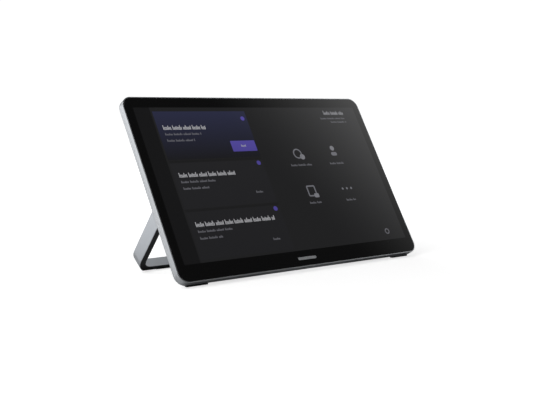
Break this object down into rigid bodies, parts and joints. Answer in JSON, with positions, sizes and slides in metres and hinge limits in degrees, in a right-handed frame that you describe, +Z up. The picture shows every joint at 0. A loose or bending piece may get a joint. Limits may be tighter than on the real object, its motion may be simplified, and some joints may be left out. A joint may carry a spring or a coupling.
{
  "type": "smart display",
  "caption": "Slim tabletop touch display in a silver case that leans back on a folding loop stand, with sockets in a recess at the back.",
  "frame": {"origin": "middle of the base, on the surface that the feet stand on", "axes": "+Z up, screen towards -Y, +X to the right of somebody who faces the screen"},
  "size_m": [0.274, 0.103, 0.1503],
  "materials": {
    "amber_flex": "polyimide film",
    "black_moulding": "moulded",
    "black_paper_cone": "pressed paper",
    "black_rubber": "moulded rubber",
    "black_screw": "black oxide",
    "black_tape": "foam tape",
    "blank_label": "printed film, blank",
    "board_black": "solder mask",
    "board_green": "solder mask",
    "brass_standoff": "turned",
    "clear_glass": "polished cover glass",
    "display_black": "smooth",
    "grey_cover": "fine moulded texture",
    "grey_pad": "soft pad",
    "guide_acrylic": "polished acrylic",
    "plain_aluminium": "mill finish",
    "polished_steel": "ground",
    "sensor_film": "smooth film",
    "silver_case": "fine satin anodised",
    "silver_stand": "fine satin anodised",
    "zinc_steel": "zinc plated"
  },
  "bodies": {
    "case": {"aerial_left": "board_black", "aerial_right": "board_black", "backlight_tray": "zinc_steel", "board_screws": "zinc_steel", "board_standoffs": "brass_standoff", "bracket_screws": "zinc_steel", "chassis_plate": "plain_aluminium", "chassis_screws": "zinc_steel", "cover_glass": "clear_glass", "cover_screws": "black_screw", "display_flex": "amber_flex", "electronics_cover": "grey_cover", "foot_left": "black_rubber", "foot_right": "black_rubber", "front_frame": "silver_case", "glass_adhesive": "black_tape", "heat_spreader": "plain_aluminium", "hinge_bracket_left": "zinc_steel", "hinge_bracket_right": "zinc_steel", "lcd_cell": "display_black", "light_guide": "guide_acrylic", "lock_plate": "zinc_steel", "main_board": "board_green", "pivot_bush_left": "black_moulding", "pivot_bush_right": "black_moulding", "processor": "black_moulding", "radio_module": "zinc_steel", "rating_label": "blank_label", "rear_cover": "silver_case", "speaker_box": "black_moulding", "speaker_cone": "black_paper_cone", "thermal_pad": "grey_pad", "touch_flex": "amber_flex", "touch_sensor": "sensor_film", "usb_sockets": "zinc_steel", "video_socket": "zinc_steel"},
    "stand": {"friction_washer_left": "polished_steel", "friction_washer_right": "polished_steel", "hinge_nut_left": "zinc_steel", "hinge_nut_right": "zinc_steel", "hinge_pin_left": "polished_steel", "hinge_pin_right": "polished_steel", "stand_foot": "black_rubber", "stand_frame": "silver_stand", "stand_lining": "black_rubber"}
  },
  "joints": [
    {"name": "stand_hinge", "type": "hinge", "parent": "case", "child": "stand", "pos_m": [0, 0.0007, 0.0594], "axis": [1, 0, 0], "range_deg": [-70.3, 30]}
  ]
}
